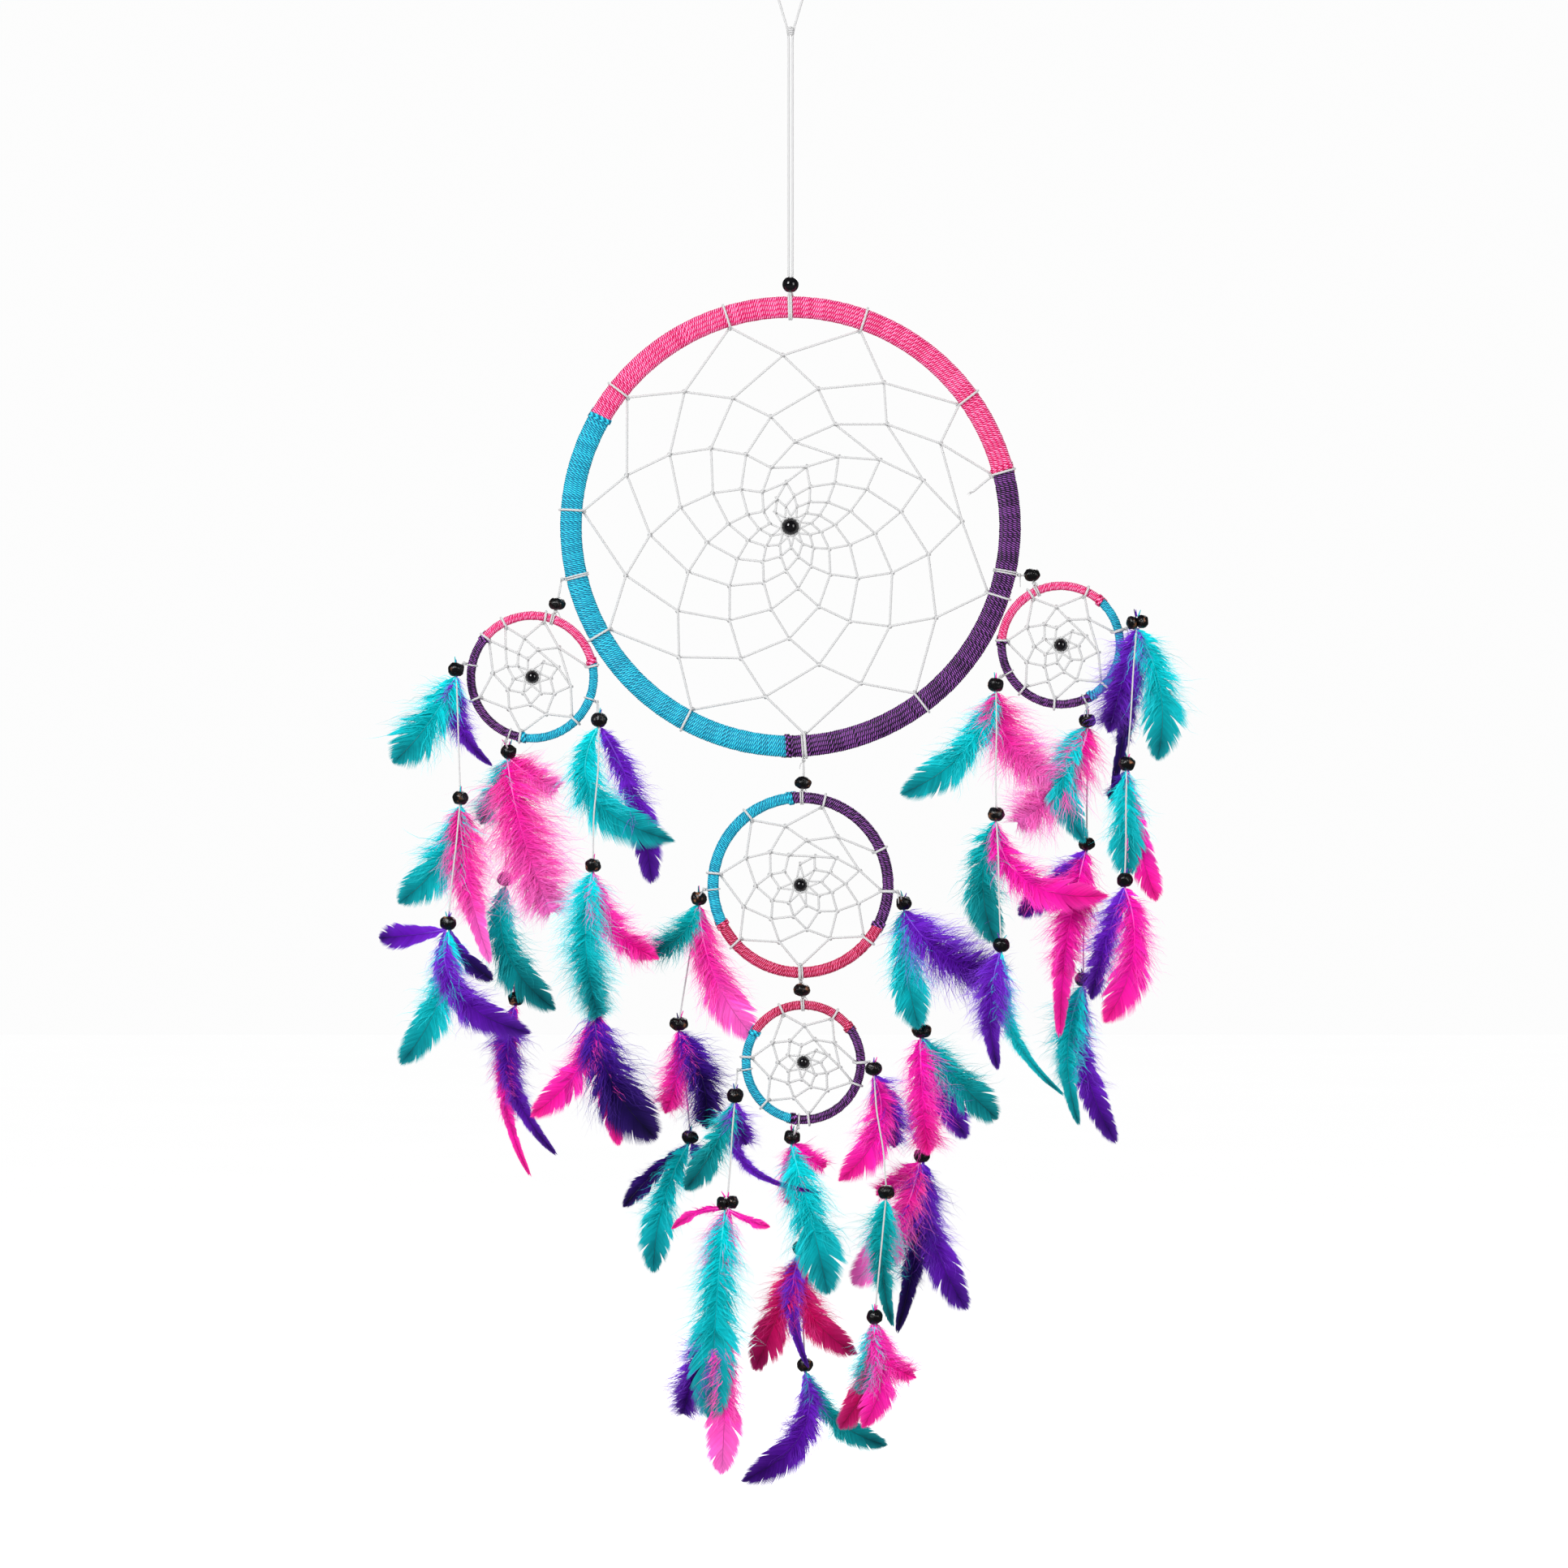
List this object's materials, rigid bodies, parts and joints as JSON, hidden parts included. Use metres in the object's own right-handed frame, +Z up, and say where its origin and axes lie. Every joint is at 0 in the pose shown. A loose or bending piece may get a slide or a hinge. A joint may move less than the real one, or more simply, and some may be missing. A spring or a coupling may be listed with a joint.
{
  "type": "dream catcher",
  "caption": "Hanging dream catcher: a large thread-bound hoop with a knotted web, small webbed hoops linked below it by beaded cords, and strings of carved beads and dyed feather tufts.",
  "frame": {"origin": "the seat inside the top of the hanging loop, where it rests on a hook", "axes": "+Z up, the front of the hoops faces -Y, +X to the right seen from the front"},
  "size_m": [0.3732, 0.034, 0.7105],
  "materials": {
    "cord_white": "matte",
    "bead_gloss": "polished",
    "hoop_core": "matte",
    "binding_pink": "satin",
    "binding_violet": "satin",
    "binding_blue": "satin",
    "bead_carved": "satin",
    "feather_turquoise": "matte",
    "feather_teal": "matte",
    "feather_pink": "matte",
    "feather_violet": "matte",
    "feather_dark_violet": "matte"
  },
  "bodies": {
    "hanger": {"hanger_cord": "cord_white"},
    "bottom_centre_tuft_1": {"bottom_centre_drop_1": "feather_teal"},
    "bottom_centre_tuft_2": {"bottom_centre_drop_2": "feather_pink"},
    "bottom_centre_tuft_3": {"bottom_centre_drop_3": "feather_violet"},
    "bottom_left_tuft_1": {"bottom_left_drop_1": "feather_dark_violet"},
    "bottom_left_tuft_2": {"bottom_left_drop_2": "feather_turquoise"},
    "bottom_left_tuft_3": {"bottom_left_drop_3": "feather_pink"},
    "bottom_hoop": {"bottom_link": "bead_carved", "bottom_ring": "hoop_core", "bottom_web": "cord_white", "bottom_web_bead": "bead_gloss", "bottom_wrap": "binding_pink"},
    "bottom_right_tuft_1": {"bottom_right_drop_1": "feather_pink"},
    "bottom_right_tuft_2": {"bottom_right_drop_2": "feather_teal"},
    "bottom_right_tuft_3": {"bottom_right_drop_3": "feather_pink"},
    "main_hoop": {"hanger_bead": "bead_gloss", "hanger_hitch": "cord_white", "main_ring": "hoop_core", "main_web": "cord_white", "main_web_bead": "bead_gloss", "main_wrap": "binding_pink"},
    "left_centre_tuft_1": {"left_centre_drop_1": "feather_pink"},
    "left_centre_tuft_2": {"left_centre_drop_2": "feather_teal"},
    "left_centre_tuft_3": {"left_centre_drop_3": "feather_violet"},
    "left_inner_tuft_1": {"left_inner_drop_1": "feather_teal"},
    "left_inner_tuft_2": {"left_inner_drop_2": "feather_turquoise"},
    "left_inner_tuft_3": {"left_inner_drop_3": "feather_dark_violet"},
    "left_hoop": {"left_link": "bead_carved", "left_ring": "hoop_core", "left_web": "cord_white", "left_web_bead": "bead_gloss", "left_wrap": "binding_violet"},
    "left_outer_tuft_1": {"left_outer_drop_1": "feather_turquoise"},
    "left_outer_tuft_2": {"left_outer_drop_2": "feather_pink"},
    "left_outer_tuft_3": {"left_outer_drop_3": "feather_violet"},
    "middle_left_tuft_1": {"middle_left_drop_1": "feather_pink"},
    "middle_left_tuft_2": {"middle_left_drop_2": "feather_dark_violet"},
    "middle_left_tuft_3": {"middle_left_drop_3": "feather_turquoise"},
    "middle_hoop": {"middle_link": "bead_carved", "middle_ring": "hoop_core", "middle_web": "cord_white", "middle_web_bead": "bead_gloss", "middle_wrap": "binding_blue"},
    "middle_right_tuft_1": {"middle_right_drop_1": "feather_violet"},
    "middle_right_tuft_2": {"middle_right_drop_2": "feather_pink"},
    "middle_right_tuft_3": {"middle_right_drop_3": "feather_dark_violet"},
    "right_centre_tuft_1": {"right_centre_drop_1": "feather_pink"},
    "right_centre_tuft_2": {"right_centre_drop_2": "feather_pink"},
    "right_centre_tuft_3": {"right_centre_drop_3": "feather_turquoise"},
    "right_inner_tuft_1": {"right_inner_drop_1": "feather_turquoise"},
    "right_inner_tuft_2": {"right_inner_drop_2": "feather_pink"},
    "right_inner_tuft_3": {"right_inner_drop_3": "feather_turquoise"},
    "right_hoop": {"right_link": "bead_carved", "right_ring": "hoop_core", "right_web": "cord_white", "right_web_bead": "bead_gloss", "right_wrap": "binding_violet"},
    "right_outer_tuft_1": {"right_outer_drop_1": "feather_turquoise"},
    "right_outer_tuft_2": {"right_outer_drop_2": "feather_teal"},
    "right_outer_tuft_3": {"right_outer_drop_3": "feather_pink"}
  },
  "joints": [
    {"name": "bottom_centre_swing", "type": "hinge", "parent": "bottom_hoop", "child": "bottom_centre_tuft_1", "pos_m": [0.00344, 0, -0.54613], "axis": [0, 1, 0], "range_deg": [-12, 12]},
    {"name": "bottom_centre_bend_2", "type": "hinge", "parent": "bottom_centre_tuft_1", "child": "bottom_centre_tuft_2", "pos_m": [0.0008, 0.01, -0.5506], "axis": [0, 1, 0], "range_deg": [-6, 6]},
    {"name": "bottom_centre_bend_3", "type": "hinge", "parent": "bottom_centre_tuft_2", "child": "bottom_centre_tuft_3", "pos_m": [0.005, 0.01, -0.6037], "axis": [0, 1, 0], "range_deg": [-4.8, 4.8]},
    {"name": "bottom_left_swing", "type": "hinge", "parent": "bottom_hoop", "child": "bottom_left_tuft_1", "pos_m": [-0.02523, 0, -0.51829], "axis": [0, 1, 0], "range_deg": [-12, 15]},
    {"name": "bottom_left_bend_2", "type": "hinge", "parent": "bottom_left_tuft_1", "child": "bottom_left_tuft_2", "pos_m": [-0.0263, -0.01, -0.5301], "axis": [0, 1, 0], "range_deg": [-6, 7.5]},
    {"name": "bottom_left_bend_3", "type": "hinge", "parent": "bottom_left_tuft_2", "child": "bottom_left_tuft_3", "pos_m": [-0.0302, -0.01, -0.5812], "axis": [0, 1, 0], "range_deg": [-4.8, 6]},
    {"name": "bottom_hoop_swing", "type": "hinge", "parent": "middle_hoop", "child": "bottom_hoop", "pos_m": [0.00496, 0, -0.47655], "axis": [0, 1, 0], "range_deg": [-15, 15]},
    {"name": "bottom_right_swing", "type": "hinge", "parent": "bottom_hoop", "child": "bottom_right_tuft_1", "pos_m": [0.03785, 0, -0.5146], "axis": [0, 1, 0], "range_deg": [-15, 12]},
    {"name": "bottom_right_bend_2", "type": "hinge", "parent": "bottom_right_tuft_1", "child": "bottom_right_tuft_2", "pos_m": [0.0395, -0.01, -0.5173], "axis": [0, 1, 0], "range_deg": [-7.5, 6]},
    {"name": "bottom_right_bend_3", "type": "hinge", "parent": "bottom_right_tuft_2", "child": "bottom_right_tuft_3", "pos_m": [0.0457, -0.01, -0.5762], "axis": [0, 1, 0], "range_deg": [-6, 4.8]},
    {"name": "left_centre_swing", "type": "hinge", "parent": "left_hoop", "child": "left_centre_tuft_1", "pos_m": [-0.13595, 0, -0.36163], "axis": [0, 1, 0], "range_deg": [-12, 12]},
    {"name": "left_centre_bend_2", "type": "hinge", "parent": "left_centre_tuft_1", "child": "left_centre_tuft_2", "pos_m": [-0.1348, 0.01, -0.3663], "axis": [0, 1, 0], "range_deg": [-6, 6]},
    {"name": "left_centre_bend_3", "type": "hinge", "parent": "left_centre_tuft_2", "child": "left_centre_tuft_3", "pos_m": [-0.1363, 0.01, -0.4271], "axis": [0, 1, 0], "range_deg": [-4.8, 4.8]},
    {"name": "left_inner_swing", "type": "hinge", "parent": "left_hoop", "child": "left_inner_tuft_1", "pos_m": [-0.09204, 0, -0.34285], "axis": [0, 1, 0], "range_deg": [-15, 12]},
    {"name": "left_inner_bend_2", "type": "hinge", "parent": "left_inner_tuft_1", "child": "left_inner_tuft_2", "pos_m": [-0.0912, -0.01, -0.3512], "axis": [0, 1, 0], "range_deg": [-7.5, 6]},
    {"name": "left_inner_bend_3", "type": "hinge", "parent": "left_inner_tuft_2", "child": "left_inner_tuft_3", "pos_m": [-0.0941, -0.01, -0.4205], "axis": [0, 1, 0], "range_deg": [-6, 4.8]},
    {"name": "left_outer_swing", "type": "hinge", "parent": "left_hoop", "child": "left_outer_tuft_1", "pos_m": [-0.156, 0, -0.32415], "axis": [0, 1, 0], "range_deg": [-8, 15]},
    {"name": "left_outer_bend_2", "type": "hinge", "parent": "left_outer_tuft_1", "child": "left_outer_tuft_2", "pos_m": [-0.1592, -0.01, -0.3272], "axis": [0, 1, 0], "range_deg": [-4, 7.5]},
    {"name": "left_outer_bend_3", "type": "hinge", "parent": "left_outer_tuft_2", "child": "left_outer_tuft_3", "pos_m": [-0.1572, -0.01, -0.3884], "axis": [0, 1, 0], "range_deg": [-3.2, 6]},
    {"name": "left_hoop_swing", "type": "hinge", "parent": "main_hoop", "child": "left_hoop", "pos_m": [-0.10918, 0, -0.28421], "axis": [0, 1, 0], "range_deg": [0, 25]},
    {"name": "main_turn", "type": "hinge", "parent": "hanger", "child": "main_hoop", "pos_m": [0, 0, -0.1435], "axis": [0, 0, 1], "range_deg": [-180, 180]},
    {"name": "middle_left_swing", "type": "hinge", "parent": "middle_hoop", "child": "middle_left_tuft_1", "pos_m": [-0.0417, 0, -0.43211], "axis": [0, 1, 0], "range_deg": [-12, 15]},
    {"name": "middle_left_bend_2", "type": "hinge", "parent": "middle_left_tuft_1", "child": "middle_left_tuft_2", "pos_m": [-0.0438, 0.01, -0.4364], "axis": [0, 1, 0], "range_deg": [-6, 7.5]},
    {"name": "middle_left_bend_3", "type": "hinge", "parent": "middle_left_tuft_2", "child": "middle_left_tuft_3", "pos_m": [-0.0534, 0.01, -0.4964], "axis": [0, 1, 0], "range_deg": [-4.8, 6]},
    {"name": "middle_hoop_swing", "type": "hinge", "parent": "main_hoop", "child": "middle_hoop", "pos_m": [0.00626, 0, -0.37088], "axis": [0, 1, 0], "range_deg": [-12, 12]},
    {"name": "middle_right_swing", "type": "hinge", "parent": "middle_hoop", "child": "middle_right_tuft_1", "pos_m": [0.05124, 0, -0.43325], "axis": [0, 1, 0], "range_deg": [-15, 10]},
    {"name": "middle_right_bend_2", "type": "hinge", "parent": "middle_right_tuft_1", "child": "middle_right_tuft_2", "pos_m": [0.0542, 0.01, -0.4387], "axis": [0, 1, 0], "range_deg": [-7.5, 5]},
    {"name": "middle_right_bend_3", "type": "hinge", "parent": "middle_right_tuft_2", "child": "middle_right_tuft_3", "pos_m": [0.0627, 0.01, -0.4999], "axis": [0, 1, 0], "range_deg": [-6, 4]},
    {"name": "right_centre_swing", "type": "hinge", "parent": "right_hoop", "child": "right_centre_tuft_1", "pos_m": [0.14168, 0, -0.34537], "axis": [0, 1, 0], "range_deg": [-12, 10]},
    {"name": "right_centre_bend_2", "type": "hinge", "parent": "right_centre_tuft_1", "child": "right_centre_tuft_2", "pos_m": [0.142, 0.01, -0.3514], "axis": [0, 1, 0], "range_deg": [-6, 5]},
    {"name": "right_centre_bend_3", "type": "hinge", "parent": "right_centre_tuft_2", "child": "right_centre_tuft_3", "pos_m": [0.1417, 0.01, -0.4104], "axis": [0, 1, 0], "range_deg": [-4.8, 4]},
    {"name": "right_inner_swing", "type": "hinge", "parent": "right_hoop", "child": "right_inner_tuft_1", "pos_m": [0.10027, 0, -0.33058], "axis": [0, 1, 0], "range_deg": [-10, 15]},
    {"name": "right_inner_bend_2", "type": "hinge", "parent": "right_inner_tuft_1", "child": "right_inner_tuft_2", "pos_m": [0.0978, -0.01, -0.3345], "axis": [0, 1, 0], "range_deg": [-5, 7.5]},
    {"name": "right_inner_bend_3", "type": "hinge", "parent": "right_inner_tuft_2", "child": "right_inner_tuft_3", "pos_m": [0.098, -0.01, -0.3961], "axis": [0, 1, 0], "range_deg": [-4, 6]},
    {"name": "right_outer_swing", "type": "hinge", "parent": "right_hoop", "child": "right_outer_tuft_1", "pos_m": [0.16049, 0, -0.30765], "axis": [0, 1, 0], "range_deg": [-15, 6]},
    {"name": "right_outer_bend_2", "type": "hinge", "parent": "right_outer_tuft_1", "child": "right_outer_tuft_2", "pos_m": [0.165, -0.01, -0.3047], "axis": [0, 1, 0], "range_deg": [-7.5, 3]},
    {"name": "right_outer_bend_3", "type": "hinge", "parent": "right_outer_tuft_2", "child": "right_outer_tuft_3", "pos_m": [0.1603, -0.01, -0.3721], "axis": [0, 1, 0], "range_deg": [-6, 2.4]},
    {"name": "right_hoop_swing", "type": "hinge", "parent": "main_hoop", "child": "right_hoop", "pos_m": [0.1096, 0, -0.2823], "axis": [0, 1, 0], "range_deg": [-25, 0]}
  ],
  "couplings": [
    {"joint": "bottom_centre_bend_2", "follows": "bottom_centre_swing", "ratio": 0.5},
    {"joint": "bottom_centre_bend_3", "follows": "bottom_centre_swing", "ratio": 0.4},
    {"joint": "bottom_left_bend_2", "follows": "bottom_left_swing", "ratio": 0.5},
    {"joint": "bottom_left_bend_3", "follows": "bottom_left_swing", "ratio": 0.4},
    {"joint": "bottom_right_bend_2", "follows": "bottom_right_swing", "ratio": 0.5},
    {"joint": "bottom_right_bend_3", "follows": "bottom_right_swing", "ratio": 0.4},
    {"joint": "left_centre_bend_2", "follows": "left_centre_swing", "ratio": 0.5},
    {"joint": "left_centre_bend_3", "follows": "left_centre_swing", "ratio": 0.4},
    {"joint": "left_inner_bend_2", "follows": "left_inner_swing", "ratio": 0.5},
    {"joint": "left_inner_bend_3", "follows": "left_inner_swing", "ratio": 0.4},
    {"joint": "left_outer_bend_2", "follows": "left_outer_swing", "ratio": 0.5},
    {"joint": "left_outer_bend_3", "follows": "left_outer_swing", "ratio": 0.4},
    {"joint": "middle_left_bend_2", "follows": "middle_left_swing", "ratio": 0.5},
    {"joint": "middle_left_bend_3", "follows": "middle_left_swing", "ratio": 0.4},
    {"joint": "middle_right_bend_2", "follows": "middle_right_swing", "ratio": 0.5},
    {"joint": "middle_right_bend_3", "follows": "middle_right_swing", "ratio": 0.4},
    {"joint": "right_centre_bend_2", "follows": "right_centre_swing", "ratio": 0.5},
    {"joint": "right_centre_bend_3", "follows": "right_centre_swing", "ratio": 0.4},
    {"joint": "right_inner_bend_2", "follows": "right_inner_swing", "ratio": 0.5},
    {"joint": "right_inner_bend_3", "follows": "right_inner_swing", "ratio": 0.4},
    {"joint": "right_outer_bend_2", "follows": "right_outer_swing", "ratio": 0.5},
    {"joint": "right_outer_bend_3", "follows": "right_outer_swing", "ratio": 0.4}
  ]
}
